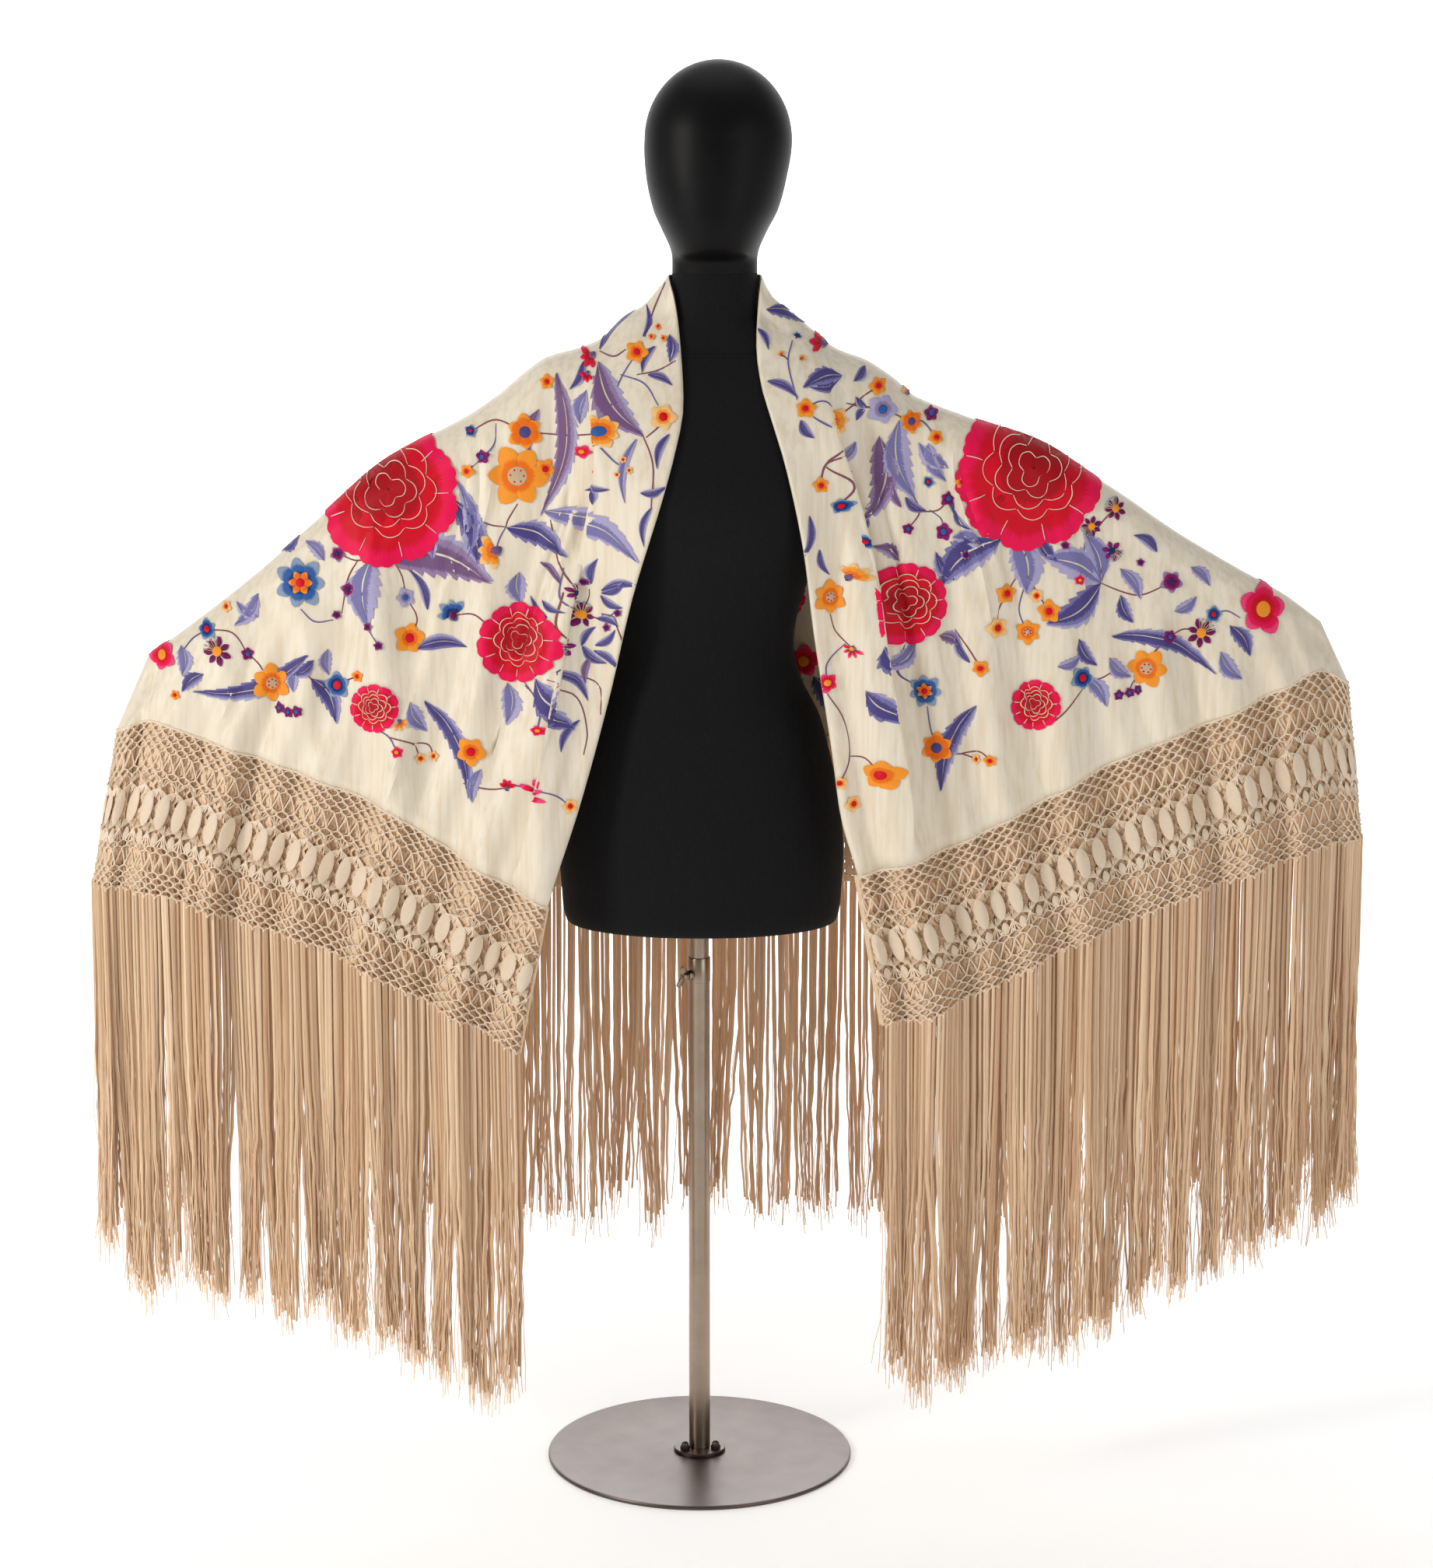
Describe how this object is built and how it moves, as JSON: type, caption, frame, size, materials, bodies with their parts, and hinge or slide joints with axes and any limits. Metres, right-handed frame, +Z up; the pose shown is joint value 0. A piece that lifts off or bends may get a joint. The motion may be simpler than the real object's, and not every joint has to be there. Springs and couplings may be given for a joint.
{
  "type": "flamenco shawl draped on a limbless dress form with its stand",
  "caption": "Ivory silk flamenco shawl with coloured flower embroidery, knotted band and long tan fringe, spread over a black limbless dress form on a round-based stand.",
  "frame": {"origin": "centre of the base plate's underside, on the mast's axis", "axes": "+Z up along the mast, -Y to the front of the form, +X to the right as the front is seen"},
  "size_m": [1.5424, 0.394, 1.7],
  "materials": {
    "silk": "ivory silk crepe with satin-stitch flowers",
    "macrame": "knotted tan silk thread",
    "fringe": "loose tan silk thread",
    "jersey": "black stretch jersey",
    "head": "smooth black, broad soft sheen",
    "nickel": "brushed nickel",
    "steel": "dark brushed steel"
  },
  "bodies": {
    "base": {"base_plate": "steel", "base_flange": "steel", "flange_nut_1": "steel", "flange_nut_2": "steel", "flange_nut_3": "steel", "mast_lower": "nickel"},
    "clamp": {"clamp_screw": "nickel"},
    "mast": {"mast_upper": "nickel"},
    "form": {"form_torso": "jersey", "form_head": "head", "silk_left_front": "silk", "macrame_left_front": "macrame", "fringe_left_front": "fringe", "silk_right_front": "silk", "macrame_right_front": "macrame", "fringe_right_front": "fringe", "silk_back": "silk", "macrame_back": "macrame", "fringe_back": "fringe"}
  },
  "joints": [
    {"name": "mast_slide", "type": "slide", "parent": "base", "child": "mast", "axis": [0, 0, 1], "range_m": [-0.035, 0.2]},
    {"name": "form_turn", "type": "hinge", "parent": "mast", "child": "form", "pos_m": [0, 0, 0.679], "axis": [0, 0, 1], "continuous": true},
    {"name": "clamp_turn", "type": "hinge", "parent": "base", "child": "clamp", "pos_m": [-0.0141, -0.0141, 0.614], "axis": [-0.7071, -0.7071, 0], "range_deg": [-180, 180]}
  ]
}
